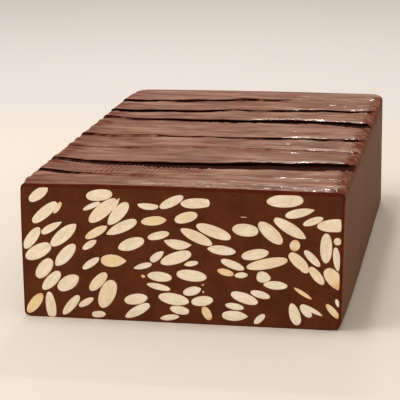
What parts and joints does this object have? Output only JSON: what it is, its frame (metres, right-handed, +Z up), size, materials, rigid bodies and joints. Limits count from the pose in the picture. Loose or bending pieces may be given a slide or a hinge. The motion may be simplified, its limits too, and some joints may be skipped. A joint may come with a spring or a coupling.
{
  "type": "chocolate nougat block with almonds",
  "caption": "Chocolate-coated block of dark nougat cut across at the front, its flat face full of sliced whole almonds, with a banded, furrowed top.",
  "frame": {"origin": "middle of the underside", "axes": "+Z up, the cut face towards -Y, +Y along the block's length away from the cut, +X to the right as the cut face is seen"},
  "size_m": [0.197, 0.321, 0.0856],
  "materials": {
    "nougat": "matt dark brown chocolate nougat, cut clean",
    "coating": "satin milk-brown chocolate, set in bands",
    "almond": "matt cream almond, cut flush"
  },
  "bodies": {
    "root": {"nougat": "nougat", "coating": "coating", "almond_01": "almond", "almond_02": "almond", "almond_03": "almond", "almond_04": "almond", "almond_05": "almond", "almond_06": "almond", "almond_07": "almond", "almond_08": "almond", "almond_09": "almond", "almond_10": "almond", "almond_11": "almond", "almond_12": "almond", "almond_13": "almond", "almond_14": "almond", "almond_15": "almond", "almond_16": "almond", "almond_17": "almond", "almond_18": "almond", "almond_19": "almond", "almond_20": "almond", "almond_21": "almond", "almond_22": "almond", "almond_23": "almond", "almond_24": "almond", "almond_25": "almond", "almond_26": "almond", "almond_27": "almond", "almond_28": "almond", "almond_29": "almond", "almond_30": "almond", "almond_31": "almond", "almond_32": "almond", "almond_33": "almond", "almond_34": "almond", "almond_35": "almond", "almond_36": "almond", "almond_37": "almond", "almond_38": "almond", "almond_39": "almond", "almond_40": "almond", "almond_41": "almond", "almond_42": "almond", "almond_43": "almond", "almond_44": "almond", "almond_45": "almond", "almond_46": "almond", "almond_47": "almond", "almond_48": "almond", "almond_49": "almond", "almond_50": "almond", "almond_51": "almond", "almond_52": "almond", "almond_53": "almond", "almond_54": "almond", "almond_55": "almond", "almond_56": "almond", "almond_57": "almond", "almond_58": "almond"}
  },
  "joints": []
}
